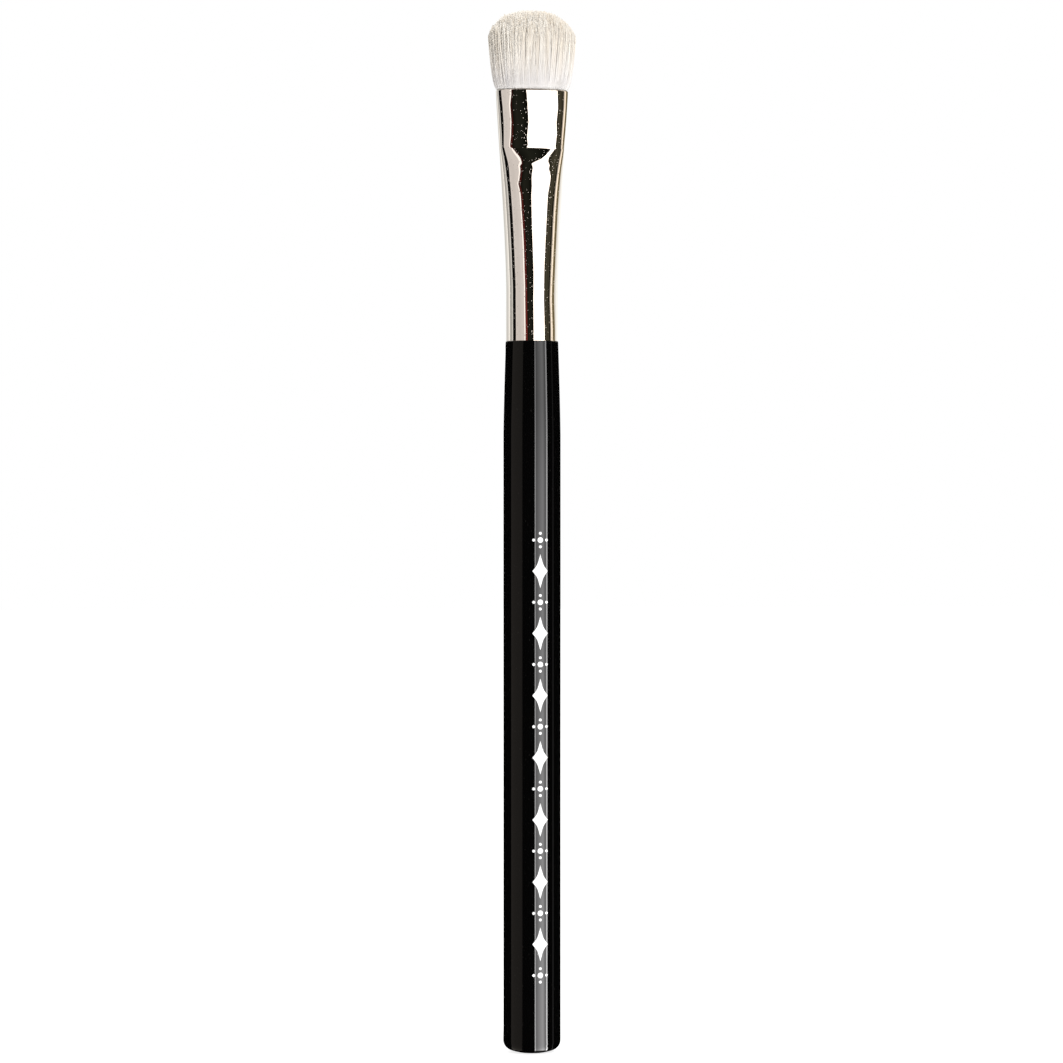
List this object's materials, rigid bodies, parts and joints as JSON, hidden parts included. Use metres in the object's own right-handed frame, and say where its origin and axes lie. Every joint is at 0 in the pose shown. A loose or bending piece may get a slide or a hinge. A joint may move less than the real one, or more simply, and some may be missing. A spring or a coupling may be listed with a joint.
{
  "type": "eyeshadow brush",
  "caption": "Slim hand brush: a straight round lacquered handle, a flared metal ferrule pressed flat at its mouth, and a short domed oval tuft of pale hair.",
  "frame": {"origin": "centre of the small flat in the middle of the domed butt, the lowest point of the handle", "axes": "+Z along the brush from the butt to the tip of the hair, +X across the wide oval of the mouth, +Y square to the pressed faces"},
  "size_m": [0.0132, 0.0086, 0.1562],
  "materials": {
    "bare_beech": "fine sanded bare beech",
    "black_lacquer": "deep gloss black lacquer",
    "clear_adhesive": "set clear adhesive",
    "plated_brass": "bright nickel plate with a warm tone",
    "white_hair": "soft natural goat hair",
    "cotton_thread": "waxed cotton thread",
    "amber_resin": "cast clear amber resin"
  },
  "bodies": {
    "root": {"handle_core": "bare_beech", "lacquer_coat": "black_lacquer", "tenon_adhesive": "clear_adhesive", "ferrule": "plated_brass", "hair_tuft": "white_hair", "hair_root": "white_hair", "root_binding": "cotton_thread", "root_resin": "amber_resin"}
  },
  "joints": []
}
